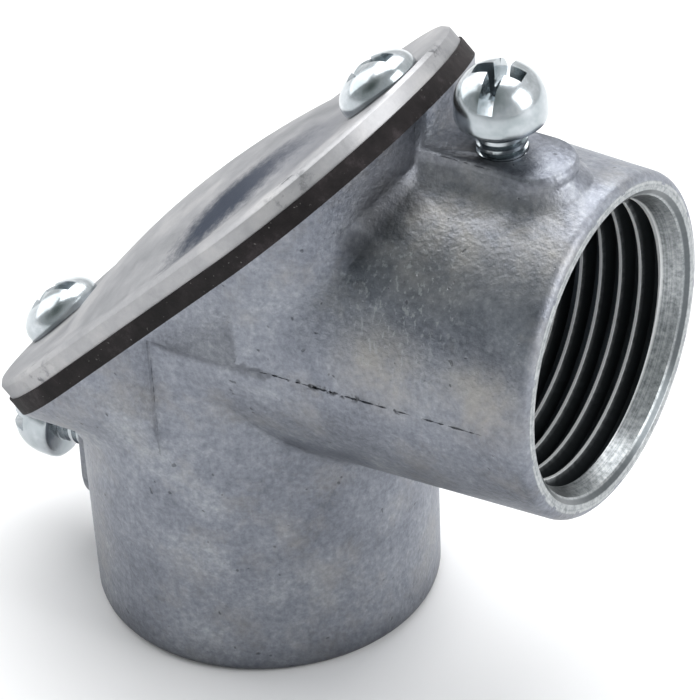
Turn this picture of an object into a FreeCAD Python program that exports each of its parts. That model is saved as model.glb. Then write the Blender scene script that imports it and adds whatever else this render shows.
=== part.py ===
import FreeCAD, Part
import math
import os
import re
import Sketcher

# Conduit pulling elbow, in millimetres. The origin is the centre of the lower hub's mouth, +Z runs up the
# lower hub and +X out along the side hub. Both hub axes cross at the height centre_to_end, and the casting is
# the same on either side of the plane that swaps them.

Vector = FreeCAD.Vector
Rotation = FreeCAD.Rotation
Placement = FreeCAD.Placement

SIZES = [
    ("bore_radius", 11.83, "crest of the conduit thread"),
    ("bore_depth", 19.0, "mouth to the conduit stop"),
    ("stop_step", 1.23, "conduit stop, from the bore in to the wire passage"),
    ("hub_wall", 3.57, "bore to the hub's outside, where the axes cross"),
    ("hub_draft", 1.5, "degrees, the hubs narrow towards their mouths"),
    ("hub_overlap", 2.0, "each hub runs on past the crossing, inside the ears"),
    ("crease_fillet", 1.5, "inner corner between the hubs"),
    ("mouth_bevel", 0.4, "outer edge of each mouth"),
    ("flange_offset", 0.3, "flange face beyond the crossing of the axes"),
    ("ear_reach", 5.62, "flange beyond the end of the mitre's own ellipse"),
    ("flange_overhang", 0.35, "flange, gasket and cover beyond the hub on each side"),
    ("flange_land", 5.35, "flange edge to the wire opening, across"),
    ("opening_end_land", 5.9, "cover screw's axis to the wire opening"),
    ("opening_depth", 8.0, "wire opening, square to the flange"),
    ("gasket_thickness", 1.6, "rubber sheet"),
    ("gasket_margin", 0.6, "gasket hole beyond the opening"),
    ("cover_thickness", 1.6, "pressed plate"),
    ("cover_inset", 0.2, "cover edge inside the flange edge"),
    ("cover_edge_bevel", 0.35, "upper edge of the cover"),
    ("dome_border", 2.35, "cover edge to the dome's foot, across"),
    ("dome_end_gap", 0.28, "cover screw head to the dome's foot"),
    ("dome_rise", 2.2, "dome above the plate"),
    ("cover_screw_inset", 4.3, "cover screws from the flange's ends"),
    ("set_screw_gap", 5.33, "flange's end to the set screw, along the hub"),
    ("set_screw_inset", 9.5, "set screws from the mouths"),
    ("screw_radius", 2.08, "number 8 screw"),
    ("thread_clearance", 0.05, "screw in its tapped hole, on the radius"),
    ("cover_hole_clearance", 0.32, "cover screws in cover and gasket, on the radius"),
    ("cover_screw_grip", 3.15, "thread in the casting"),
    ("tapped_run_out", 0.55, "tapped hole beyond the screw's tip"),
    ("cover_head_radius", 3.62, "cover screw head"),
    ("cover_head_height", 2.7, "cover screw head"),
    ("cover_head_rim", 0.5, "upright part of the cover screw head"),
    ("cover_head_edge", 0.15, "lower edge of the cover screw head"),
    ("cover_shoulder_height", 1.75, "where the cover screw head's round top turns flatter"),
    ("cover_shoulder_inset", 0.64, "narrower there than at its rim, on the radius"),
    ("cover_crown_radius", 1.63, "flat top of the cover screw head"),
    ("cover_recess_depth", 1.6, "cross recess below the top of the head"),
    ("set_head_radius", 3.77, "set screw head"),
    ("set_head_height", 4.7, "set screw head"),
    ("set_head_rim", 1.1, "height of the head's widest part"),
    ("set_head_edge", 0.5, "lower edge of the set screw head"),
    ("set_shoulder_height", 3.15, "where the set screw head's round top turns flatter"),
    ("set_shoulder_inset", 0.49, "narrower there than at its rim, on the radius"),
    ("set_crown_radius", 1.75, "flat top of the set screw head"),
    ("set_recess_depth", 2.8, "cross recess below the top of the head"),
    ("set_screw_length", 7.5, "below the head"),
    ("set_screw_backed_out", 2.8, "head above its boss"),
    ("slot_width", 1.1, "driver slots"),
    ("slot_depth", 1.2, "driver slot across the head"),
    ("recess_span", 4.2, "cross recess from end to end"),
    ("set_slot_turn", 108.0, "degrees, the set screws' slots from the side hub's axis"),
    ("boss_rise", 1.2, "set screw boss above the hub"),
    ("boss_half_width", 3.3, "boss flat, also the radius of its round end"),
    ("boss_reach", 6.4, "boss's round end beyond the set screw's axis"),
    ("boss_root_wall", 1.0, "bore to the boss's hidden underside"),
    ("boss_draft", 6.0, "degrees"),
    ("boss_edge_bevel", 0.3, "boss's upper edge"),
    ("foot_bevel", 1.0, "boss and ear to hub"),
    ("cut_overrun", 1.0, "how far a cutting form runs past the face that it opens"),
]

# Sizes that follow from those above.
FOLLOWING = {
    "hub_radius": "bore_radius + hub_wall",
    "passage_radius": "bore_radius - stop_step",
    "mouth_radius": "hub_radius - centre_to_end * tan(hub_draft * 1 deg)",
    "root_radius": "hub_radius + hub_overlap * tan(hub_draft * 1 deg)",
    "half_width": "hub_radius + flange_overhang",
    "half_length": "sqrt(2) * hub_radius + ear_reach",
    "end_centre": "half_length - half_width",
    "ear_end": "half_length / sqrt(2)",
    "set_screw_reach": "ear_end + set_screw_gap",
    "centre_to_end": "set_screw_reach + set_screw_inset",
    "cover_screw_reach": "half_length - cover_screw_inset",
    "tapped_radius": "screw_radius + thread_clearance",
    "tapped_depth": "cover_screw_grip + tapped_run_out",
    "opening_half_length": "cover_screw_reach - opening_end_land",
    "opening_half_width": "half_width - flange_land",
    "plate_top": "gasket_thickness + cover_thickness",
    "dome_half_length": "cover_screw_reach - cover_head_radius - dome_end_gap",
    "dome_half_width": "half_width - cover_inset - dome_border",
    "dome_long_bend": "(dome_half_length * dome_half_length / dome_rise + dome_rise) / 2",
    "dome_cross_bend": "(dome_half_width * dome_half_width / dome_rise + dome_rise) / 2",
    "boss_top": "hub_radius + boss_rise",
    "boss_end": "set_screw_reach + boss_reach",
    "boss_root": "ear_end - 2 * boss_half_width",
    "boss_height": "hub_wall + boss_rise - boss_root_wall",
    "set_seat": "boss_top + set_screw_backed_out",
}

doc = FreeCAD.newDocument("conduit_pulling_elbow")
sheet = doc.addObject("Spreadsheet::Sheet", "Sizes")
for row, (alias, value, note) in enumerate(SIZES, start=1):
    sheet.set(f"A{row}", alias.replace("_", " "))
    sheet.set(f"B{row}", str(value))
    sheet.setAlias(f"B{row}", alias)
    sheet.set(f"C{row}", note)
doc.recompute()


def in_sheet(text):
    """The expression with each following size written out, and each size's name looked up in the sheet."""
    while re.search(rf"\b({'|'.join(FOLLOWING)})\b", text):
        text = re.sub(rf"\b({'|'.join(FOLLOWING)})\b", lambda found: f"({FOLLOWING[found[0]]})", text)
    return re.sub(rf"\b({'|'.join(alias for alias, _, _ in SIZES)})\b", r"Sizes.\1", text)


def size(text):
    """The value of a size, or of an expression in sizes, as a plain number."""
    return float(sheet.evalExpression(in_sheet(text)))


def bound(obj, **expressions):
    """Binds properties to the sheet. A double underscore in a property's name stands for a point."""
    for name, text in expressions.items():
        obj.setExpression(name.replace("__", "."), in_sheet(text))
    return obj


def make(kind, name, **expressions):
    return bound(doc.addObject(kind, name), **expressions)


# Rotations: the side hub points along +X. The flange's own Z is its outward normal, and its own X runs up the
# slope. A ring turned by ACROSS has its axis along Y and its own X along the flange's normal.
UPRIGHT = Rotation()
ALONG_X = Rotation(Vector(0, 1, 0), 90)
ON_FLANGE = Rotation(Vector(0, 1, 0), -45)
ACROSS = Rotation(Vector(0, 1, 0), -135) * Rotation(Vector(1, 0, 0), 90)


def turned(obj, rotation, x="0", y="0", z="0"):
    obj.Placement = Placement(Vector(size(x), size(y), size(z)), rotation)
    return bound(obj, Placement__Base__x=f"({x}) * 1 mm", Placement__Base__y=f"({y}) * 1 mm",
                 Placement__Base__z=f"({z}) * 1 mm")


def on_flange(obj, along="0", height="0"):
    """Sets an object on the flange, its origin `along` the slope from the middle, `height` above the face."""
    lift = f"({height} + flange_offset)"
    return turned(obj, ON_FLANGE, x=f"(({along}) - {lift}) / sqrt(2)",
                  z=f"centre_to_end + (({along}) + {lift}) / sqrt(2)")


TINY = 1e-6


def place(sketch, kind, geometry, point, text):
    """Fixes a point's distance from the sketch's origin, along X or along Y, to an expression."""
    if abs(size(text)) < TINY:
        axis = -2 if kind == "DistanceX" else -1
        sketch.addConstraint(Sketcher.Constraint("PointOnObject", geometry, point, axis))
    else:
        index = sketch.addConstraint(Sketcher.Constraint(kind, -1, 1, geometry, point, size(text)))
        sketch.setExpression(f"Constraints[{index}]", f"({in_sheet(text)}) * 1 mm")


def pin_point(sketch, geometry, point, x, y):
    """Fixes a point of a sketch at a place given by two expressions."""
    place(sketch, "DistanceX", geometry, point, x)
    place(sketch, "DistanceY", geometry, point, y)


def outline(sketch, steps):
    """Draws a closed outline. Each step is (x, y) for a line to that point, or (x, y, mid_x, mid_y, centre_x)
    for an arc through the middle point, whose centre is kept at centre_x."""
    ends = [(size(s[0]), size(s[1])) for s in steps]
    ids = []
    for i, step in enumerate(steps):
        start, end = ends[i - 1], ends[i]
        a, b = Vector(start[0], start[1], 0), Vector(end[0], end[1], 0)
        if len(step) == 2:
            ids.append(sketch.addGeometry(Part.LineSegment(a, b), False))
        else:
            mid = Vector(size(step[2]), size(step[3]), 0)
            ids.append(sketch.addGeometry(Part.Arc(a, mid, b), False))
    for i, step in enumerate(steps):
        here = end_at(sketch, ids[i], ends[i])
        following = (i + 1) % len(steps)
        there = end_at(sketch, ids[following], ends[i])
        sketch.addConstraint(Sketcher.Constraint("Coincident", ids[i], here, ids[following], there))
        pin_point(sketch, ids[i], here, step[0], step[1])
        if len(step) > 2:
            place(sketch, "DistanceX", ids[i], 3, step[4])
    return sketch


def end_at(sketch, geometry, spot):
    """1 if the geometry starts at the spot, 2 if it ends there: a clockwise arc is stored backwards."""
    start = sketch.Geometry[geometry].StartPoint
    return 1 if math.hypot(start.x - spot[0], start.y - spot[1]) < TINY else 2


def oblong(sketch, half_length, half_width):
    """A stadium about the sketch's origin, its long way along X."""
    flat = f"({half_length}) - ({half_width})"
    return outline(sketch, [
        (flat, f"-({half_width})"),
        (flat, half_width, half_length, "0", flat),
        (f"-({flat})", half_width),
        (f"-({flat})", f"-({half_width})", f"-({half_length})", "0", f"-({flat})"),
    ])


def circle(sketch, radius, x="0", y="0"):
    centre = Vector(size(x), size(y), 0)
    geometry = sketch.addGeometry(Part.Circle(centre, Vector(0, 0, 1), size(radius)), False)
    pin_point(sketch, geometry, 3, x, y)
    index = sketch.addConstraint(Sketcher.Constraint("Radius", geometry, size(radius)))
    sketch.setExpression(f"Constraints[{index}]", f"({in_sheet(radius)}) * 1 mm")


def extruded(name, sketch, length, direction, taper=None):
    solid = doc.addObject("Part::Extrusion", name)
    solid.Base = sketch
    solid.DirMode = "Custom"
    solid.Dir = direction
    solid.Solid = True
    bound(solid, LengthFwd=f"({length}) * 1 mm")
    if taper:
        bound(solid, TaperAngle=f"({taper}) * 1 deg")
    return solid


def mirrored(name, source):
    """The same form on the other hub: the mirror plane holds the flange's normal and the Y axis."""
    copy = doc.addObject("Part::Mirroring", name)
    copy.Source = source
    copy.Normal = Vector(1, 0, 1)
    copy.Base = Vector(0, 0, size("centre_to_end"))
    return bound(copy, Base__z="centre_to_end * 1 mm")


def joined(name, shapes):
    solid = doc.addObject("Part::MultiFuse", name)
    solid.Shapes = shapes
    solid.Refine = True
    return solid


def cut(name, base, tool):
    solid = doc.addObject("Part::Cut", name)
    solid.Base = base
    solid.Tool = tool
    solid.Refine = True
    return solid


def dressed(kind, name, base, chosen):
    """Fillets or chamfers the edges that `chosen` gives a size."""
    doc.recompute()
    solid = doc.addObject(kind, name)
    solid.Base = base
    edges = []
    for number, edge in enumerate(base.Shape.Edges, start=1):
        width = chosen(edge)
        if width:
            edges.append((number, width, width))
    solid.Edges = edges
    return solid


# The casting's outside: a drafted hub each way, an ear at each end of the flange, a boss for each set screw.
side_hub = make("Part::Cone", "side_hub", Radius1="root_radius * 1 mm", Radius2="mouth_radius * 1 mm",
                Height="(centre_to_end + hub_overlap) * 1 mm")
turned(side_hub, ALONG_X, x="-hub_overlap", z="centre_to_end")
lower_hub = mirrored("lower_hub", side_hub)

# The ear is the upper half of the flange's outline, drawn straight down to the height of the hub's axis.
ear_outline = doc.addObject("Sketcher::SketchObject", "ear_outline")
on_flange(ear_outline)
outline(ear_outline, [
    ("0", "-half_width"),
    ("end_centre", "-half_width"),
    ("end_centre", "half_width", "half_length", "0", "end_centre"),
    ("0", "half_width"),
])
ear_drop = "(half_length + 2 * flange_offset) / sqrt(2)"
ear_prism = extruded("ear_prism", ear_outline, ear_drop, Vector(0, 0, -1))
ear_room = make("Part::Box", "ear_room", Length="half_length * 1 mm", Width="2 * half_width * 1 mm",
                Height="half_length * 1 mm")
turned(ear_room, UPRIGHT, x="-flange_offset * sqrt(2)", y="-half_width", z="centre_to_end")
upper_ear = doc.addObject("Part::Common", "upper_ear")
upper_ear.Base = ear_prism
upper_ear.Tool = ear_room
lower_ear = mirrored("lower_ear", upper_ear)

boss_outline = doc.addObject("Sketcher::SketchObject", "boss_outline")
turned(boss_outline, UPRIGHT, z="centre_to_end + boss_top")
boss_turn = "boss_end - boss_half_width"
outline(boss_outline, [
    ("boss_root", "-boss_half_width"),
    (boss_turn, "-boss_half_width"),
    (boss_turn, "boss_half_width", "boss_end", "0", boss_turn),
    ("boss_root", "boss_half_width"),
])
boss_block = extruded("boss_block", boss_outline, "boss_height", Vector(0, 0, -1), taper="boss_draft")


# How near an edge has to lie to a face to count as on it: a drafted form's edges are only nearly true.
NEAR = 0.03


def on_boss_top(edge):
    """The boss's upper edge."""
    top = size("centre_to_end + boss_top")
    box = edge.BoundBox
    return size("boss_edge_bevel") if max(abs(box.ZMin - top), abs(box.ZMax - top)) < NEAR else None


upper_boss = dressed("Part::Chamfer", "upper_boss", boss_block, on_boss_top)
lower_boss = mirrored("lower_boss", upper_boss)

castings = joined("casting_forms", [side_hub, lower_hub, upper_ear, lower_ear, upper_boss, lower_boss])
flange_trim = make("Part::Box", "flange_trim", Length="4 * half_length * 1 mm",
                   Width="4 * half_width * 1 mm", Height="2 * hub_radius * 1 mm")
turned(flange_trim, ON_FLANGE,
       x="(-2 * half_length - flange_offset) / sqrt(2)", y="-2 * half_width",
       z="centre_to_end + (-2 * half_length + flange_offset) / sqrt(2)")
trimmed = cut("trimmed_casting", castings, flange_trim)


def folded(point):
    """A point of either hub, carried to the side hub: out along its axis, across, and above the axis."""
    out, up = point.x, point.z - size("centre_to_end")
    return (out, point.y, up) if out + up >= 0 else (-up, point.y, -out)


SAMPLES = 7


def points_along(edge):
    """Evenly spaced points of an edge, from end to end."""
    first, last = edge.ParameterRange
    return [edge.valueAt(first + (last - first) * i / (SAMPLES - 1)) for i in range(SAMPLES)]


def on_hub(point):
    out, across, up = point
    radius = size("hub_radius") - out * math.tan(math.radians(size("hub_draft")))
    return abs(math.hypot(across, up) - radius) < NEAR


def foot(edge):
    """Where an ear or a boss stands on its hub."""
    points = [folded(p) for p in points_along(edge)]
    at_mouth = all(abs(out - size("centre_to_end")) < NEAR for out, across, up in points)
    above = points[SAMPLES // 2][2] > size("foot_bevel")
    return size("foot_bevel") if above and not at_mouth and all(on_hub(p) for p in points) else None


def crease(edge):
    """The inner corner between the hubs."""
    points = [folded(p) for p in points_along(edge)]
    on_mitre = all(abs(out + up) < NEAR and on_hub((out, across, up)) for out, across, up in points)
    return size("crease_fillet") if on_mitre and edge.Length > size("bore_radius") else None


def mouth_edge(edge):
    """The outer edge of each mouth."""
    outs = [folded(p)[0] for p in points_along(edge)]
    return size("mouth_bevel") if all(abs(out - size("centre_to_end")) < NEAR for out in outs) else None


footed = dressed("Part::Chamfer", "footed_casting", trimmed, foot)
softened = dressed("Part::Fillet", "softened_casting", footed, crease)
bevelled = dressed("Part::Chamfer", "bevelled_casting", softened, mouth_edge)

# The hollow: a bore and a narrower passage behind its conduit stop along each hub, and the wire opening.
bore = make("Part::Cylinder", "side_bore", Radius="bore_radius * 1 mm",
            Height="(bore_depth + cut_overrun) * 1 mm")
turned(bore, ALONG_X, x="centre_to_end - bore_depth", z="centre_to_end")
passage = make("Part::Cylinder", "side_passage", Radius="passage_radius * 1 mm",
               Height="(centre_to_end - bore_depth + passage_radius + 2 * cut_overrun) * 1 mm")
turned(passage, ALONG_X, x="-passage_radius - cut_overrun", z="centre_to_end")
set_hole = make("Part::Cylinder", "side_set_hole", Radius="tapped_radius * 1 mm",
                Height="(hub_wall + boss_rise + 3 * cut_overrun) * 1 mm")
turned(set_hole, UPRIGHT, x="set_screw_reach", z="centre_to_end + bore_radius - 2 * cut_overrun")
cover_hole = make("Part::Cylinder", "upper_tapped_hole", Radius="tapped_radius * 1 mm",
                  Height="(tapped_depth + cut_overrun) * 1 mm")
on_flange(cover_hole, along="cover_screw_reach", height="-tapped_depth")
side_hollow = joined("side_hollow", [bore, passage, set_hole, cover_hole])
lower_hollow = mirrored("lower_hollow", side_hollow)

opening_outline = doc.addObject("Sketcher::SketchObject", "opening_outline")
on_flange(opening_outline, height="cut_overrun")
oblong(opening_outline, "opening_half_length", "opening_half_width")
wire_opening = extruded("wire_opening", opening_outline, "opening_depth + cut_overrun", Vector(1, 0, -1))
hollow = joined("hollow", [side_hollow, lower_hollow, wire_opening])
elbow_body = cut("elbow_body", bevelled, hollow)
elbow_body.Label = "elbow_body"


def flat_sheet(name, height, thickness, inset, hole_margin=None):
    """An oblong sheet on the flange, with the cover screws' holes and, where it has one, the wire opening."""
    edge = doc.addObject("Sketcher::SketchObject", name + "_outline")
    on_flange(edge, height=height)
    oblong(edge, f"half_length - {inset}", f"half_width - {inset}")
    if hole_margin:
        oblong(edge, f"opening_half_length + {hole_margin}", f"opening_half_width + {hole_margin}")
    for reach in ("cover_screw_reach", "-cover_screw_reach"):
        circle(edge, "screw_radius + cover_hole_clearance", x=reach)
    return extruded(name, edge, thickness, Vector(-1, 0, 1))


gasket = flat_sheet("cover_gasket", "0", "gasket_thickness", "0", hole_margin="gasket_margin")
gasket.Label = "cover_gasket"

# The cover is pressed from plate. Its low dome bends gently along the flange and more across it, and the
# inside follows the outside one thickness further in.
plate = flat_sheet("cover_plate", "gasket_thickness", "cover_thickness", "cover_inset")


def dome_form(name, inset):
    """A ring whose outermost side is the dome. It lies on edge."""
    form = make("Part::Torus", name, Radius1="(dome_long_bend - dome_cross_bend) * 1 mm",
                Radius2=f"(dome_cross_bend - {inset}) * 1 mm")
    depth = "plate_top + flange_offset + dome_rise - dome_long_bend"
    return turned(form, ACROSS, x=f"-({depth}) / sqrt(2)", z=f"centre_to_end + ({depth}) / sqrt(2)")


above_plate = make("Part::Box", "above_plate", Length="2 * half_length * 1 mm", Width="2 * half_width * 1 mm",
                   Height="2 * dome_rise * 1 mm")
turned(above_plate, ON_FLANGE, x="(-half_length - plate_top - flange_offset) / sqrt(2)", y="-half_width",
       z="centre_to_end + (-half_length + plate_top + flange_offset) / sqrt(2)")
dome_cap = doc.addObject("Part::Common", "dome_cap")
dome_cap.Base = dome_form("dome_outside", "0")
dome_cap.Tool = above_plate
domed_plate = joined("domed_plate", [plate, dome_cap])
pressed_plate = cut("pressed_plate", domed_plate, dome_form("dome_inside", "cover_thickness"))


def on_plate_top(point):
    height = (point.z - size("centre_to_end") - point.x) / math.sqrt(2) - size("flange_offset")
    return abs(height - size("plate_top")) < NEAR


def flange_reach(point):
    """How far a point lies from the flange's middle line, measured round its ends too."""
    along = (point.x + point.z - size("centre_to_end")) / math.sqrt(2)
    return math.hypot(max(0.0, abs(along) - size("end_centre")), point.y)


def plate_edge(edge):
    """The upper outer edge of the cover."""
    points = points_along(edge)
    outer = all(abs(flange_reach(p) - size("half_width - cover_inset")) < NEAR for p in points)
    return size("cover_edge_bevel") if outer and all(on_plate_top(p) for p in points) else None


cover = dressed("Part::Chamfer", "cover", pressed_plate, plate_edge)
cover.Label = "cover"


def origin_plane(body, role):
    return next(f for f in body.Origin.OriginFeatures if f.Role == role)


def body_sketch(body, role, name):
    sketch = body.newObject("Sketcher::SketchObject", name)
    sketch.AttachmentSupport = [(origin_plane(body, role), "")]
    sketch.MapMode = "FlatFace"
    return sketch


FULL_TURN = 360


def screw(name, kind, length):
    """A round-head screw along its own Z, with the underside of the head at its origin. It has a driver slot
    right across the head along X, and a cross recess. The kind, cover or set, names its head's sizes."""
    head_radius, head_height, deepest = f"{kind}_head_radius", f"{kind}_head_height", f"{kind}_recess_depth"
    body = doc.addObject("PartDesign::Body", name)
    body.Label = name
    profile = body_sketch(body, "XZ_Plane", name + "_profile")
    outline(profile, [
        ("0", f"-({length})"),
        ("screw_radius", f"-({length})"),
        ("screw_radius", "0"),
        (f"{head_radius} - {kind}_head_edge", "0"),
        (head_radius, f"{kind}_head_edge"),
        (head_radius, f"{kind}_head_rim"),
        (f"{head_radius} - {kind}_shoulder_inset", f"{kind}_shoulder_height"),
        (f"{kind}_crown_radius", head_height),
        ("0", head_height),
    ])
    turn = body.newObject("PartDesign::Revolution", name + "_turned")
    turn.Profile = profile
    turn.ReferenceAxis = (profile, ["V_Axis"])
    turn.Angle = FULL_TURN
    doc.recompute()
    for number, (role, across, deep) in enumerate((
            ("YZ_Plane", f"2 * ({head_radius} + cut_overrun)", "slot_depth"),
            ("XZ_Plane", "recess_span", deepest),
            ("YZ_Plane", "recess_span", deepest)), start=1):
        groove = body_sketch(body, role, f"{name}_groove_{number}")
        outline(groove, [
            ("slot_width / 2", f"{head_height} - {deep}"),
            ("slot_width / 2", f"{head_height} + cut_overrun"),
            ("-slot_width / 2", f"{head_height} + cut_overrun"),
            ("-slot_width / 2", f"{head_height} - {deep}"),
        ])
        pocket = body.newObject("PartDesign::Pocket", f"{name}_recess_{number}")
        pocket.Profile = groove
        pocket.SideType = "Symmetric"
        bound(pocket, Length=f"({across}) * 1 mm")
        doc.recompute()
    return body


def cover_screw(name, along):
    return on_flange(screw(name, "cover", "plate_top + cover_screw_grip"), along=along, height="plate_top")


def set_screw(name, rotation, x, z):
    return turned(screw(name, "set", "set_screw_length"), rotation, x=x, z=z)


upper_cover_screw = cover_screw("upper_cover_screw", "cover_screw_reach")
lower_cover_screw = cover_screw("lower_cover_screw", "-cover_screw_reach")

slot_turn = Rotation(Vector(0, 0, 1), size("set_slot_turn"))
side_set_screw = set_screw("side_hub_set_screw", slot_turn, "set_screw_reach", "centre_to_end + set_seat")
lower_set_screw = set_screw("lower_hub_set_screw", ALONG_X.inverted() * slot_turn, "-set_seat",
                            "centre_to_end - set_screw_reach")

NODES = [elbow_body, gasket, cover, upper_cover_screw, lower_cover_screw, side_set_screw, lower_set_screw]

doc.recompute()
for obj in doc.Objects:
    if "Invalid" in obj.State or "Error" in obj.State:
        raise RuntimeError(f"{obj.Name} failed: {obj.State}")
for node in NODES:
    if node.Shape.isNull() or not node.Shape.isValid():
        raise RuntimeError(f"{node.Label} has no valid shape")

os.makedirs("parts", exist_ok=True)
for node in NODES:
    node.Shape.exportStep(f"parts/{node.Label}.step")
    print(f"{node.Label}: {len(node.Shape.Solids)} solid, {node.Shape.Volume:.1f} mm3")
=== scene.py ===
import math
import random

import bmesh
import bpy
from mathutils import Matrix, Vector


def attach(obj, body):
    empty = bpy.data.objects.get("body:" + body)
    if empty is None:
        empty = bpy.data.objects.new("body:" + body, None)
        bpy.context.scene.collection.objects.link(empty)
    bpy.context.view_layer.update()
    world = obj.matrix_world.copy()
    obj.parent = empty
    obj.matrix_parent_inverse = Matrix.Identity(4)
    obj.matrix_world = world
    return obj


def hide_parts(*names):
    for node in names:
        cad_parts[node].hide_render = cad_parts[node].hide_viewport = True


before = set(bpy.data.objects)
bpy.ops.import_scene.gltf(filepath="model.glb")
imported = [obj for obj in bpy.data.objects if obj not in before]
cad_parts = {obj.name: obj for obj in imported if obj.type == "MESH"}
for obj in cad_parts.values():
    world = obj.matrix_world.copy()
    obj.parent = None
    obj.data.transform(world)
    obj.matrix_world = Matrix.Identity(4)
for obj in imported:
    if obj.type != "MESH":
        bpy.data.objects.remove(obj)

scene = bpy.context.scene
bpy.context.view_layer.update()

# The view: the elbow stands on its lower hub, seen from in front of the side hub and from above, through a
# long lens that is held a little askew.
AZIMUTH, ELEVATION, ROLL = math.radians(32.36), math.radians(36.23), math.radians(-3.55)
AIM = Vector((0.00933, 0, 0.02587))
DISTANCE = 0.5341
SENSOR_WIDTH, FOCAL_LENGTH = 36, 334.3
CLIP_START = 0.01
back = Vector((math.cos(ELEVATION) * math.sin(AZIMUTH), -math.cos(ELEVATION) * math.cos(AZIMUTH),
               math.sin(ELEVATION)))
level = Vector((math.cos(AZIMUTH), math.sin(AZIMUTH), 0))
right = level * math.cos(ROLL) + back.cross(level) * math.sin(ROLL)
camera = bpy.data.objects.new("camera", bpy.data.cameras.new("camera"))
scene.collection.objects.link(camera)
camera.matrix_world = Matrix.Translation(AIM + back * DISTANCE) @ Matrix(
    (right, back.cross(right), back)).transposed().to_4x4()
camera.data.sensor_width = SENSOR_WIDTH
camera.data.lens = FOCAL_LENGTH
camera.data.clip_start = CLIP_START
scene.camera = camera
scene.view_settings.view_transform = "Standard"

# The elbow itself: one die casting in zinc alloy, used as it comes from the die. Only the mouths are faced,
# and a conduit thread with a short lead-in is cut into each hub. The two hubs' axes cross in one point.
HUB_REACH = 0.034204
CROSSING = Vector((0, 0, HUB_REACH))
HUB_RADIUS = 0.0154
HUB_DRAFT = math.tan(math.radians(1.5))
PARTING_HEIGHT = 0.0340
BORE = 0.01183
LEAD_IN_RADIUS, LEAD_IN_DEPTH = 0.01272, 0.0021
RIM_RADIUS, RIM_DEPTH = 0.01308, 0.0003
MOUTH_ROUND = 0.0009
ROUND_STEPS = 128
THREAD_PITCH = 0.001814
THREAD_ROOT = 0.01320
THREAD_START, THREAD_TURNS = 0.0326, 7.3
THREAD_STEPS, RUN_OUT_STEPS = 72, 10
CUT_FROM = 0.0190
SLOPE_CHANGE = 0.15


def colour(code):
    """An sRGB hex colour as Blender's linear one."""
    parts = [int(code[i:i + 2], 16) / 255 for i in (1, 3, 5)]
    return [c / 12.92 if c <= 0.04045 else ((c + 0.055) / 1.055) ** 2.4 for c in parts] + [1]


def add(owner, kind, settings=None, stops=(), **inputs):
    """Adds a node to a material or world, and returns it. An input is a value or an earlier node's socket,
    named by its label or, as i0 or i6, by its number. A colour ramp takes stops of (place, hex colour)."""
    node = owner.node_tree.nodes.new("ShaderNode" + kind)
    for name, value in (settings or {}).items():
        setattr(node, name, value)
    for number, (place, code) in enumerate(stops):
        ramp = node.color_ramp.elements
        stop = ramp[number] if number < len(ramp) else ramp.new(place)
        stop.position, stop.color = place, colour(code)
    for name, value in inputs.items():
        socket = node.inputs[int(name[1:]) if name[1:].isdigit() else name.replace("_", " ")]
        if isinstance(value, bpy.types.NodeSocket):
            owner.node_tree.links.new(value, socket)
        else:
            socket.default_value = value
    return node


def finish_material(material, **inputs):
    """Sets or links the inputs of a material's own Principled shader."""
    shader = material.node_tree.nodes["Principled BSDF"]
    for name, value in inputs.items():
        socket = shader.inputs[name.replace("_", " ")]
        if isinstance(value, bpy.types.NodeSocket):
            material.node_tree.links.new(value, socket)
        else:
            socket.default_value = value


def new_material(name):
    """A material with a node tree of its own."""
    material = bpy.data.materials.new(name)
    material.use_nodes = True
    return material


# As-cast zinc alloy gives a dull, mottled blue-grey metal with warmer oxide patches, pinholes and a pebbled
# skin. Each noise's scale is one over the real size in metres. Here the mottling is 3.8 mm across and breaks
# down to less than 0.1 mm, the patches are 12 mm, and the speckle is 0.5 mm.
die_cast_zinc = new_material("die cast zinc alloy")
spot = add(die_cast_zinc, "TexCoord").outputs["Object"]
mottle = add(die_cast_zinc, "TexNoise", Vector=spot, Scale=260.0, Detail=9.0, Roughness=0.68, Distortion=0.4)
patches = add(die_cast_zinc, "TexNoise", Vector=spot, Scale=85.0, Detail=3.0, Roughness=0.55, Distortion=0.6)
speckle = add(die_cast_zinc, "TexNoise", Vector=spot, Scale=1900.0, Detail=3.0, Roughness=0.7)
broad = add(die_cast_zinc, "Mix", {"data_type": "FLOAT"}, Factor=0.42, A=mottle.outputs[0],
            B=patches.outputs[0])
speckled = add(die_cast_zinc, "Mix", {"data_type": "FLOAT"}, Factor=0.34, A=broad.outputs[0],
               B=speckle.outputs[0])
skin = add(die_cast_zinc, "ValToRGB", i0=speckled.outputs[0],
           stops=((0.34, "#5f636b"), (0.46, "#787c85"), (0.54, "#888c94"), (0.66, "#a6aaaf")))

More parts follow.
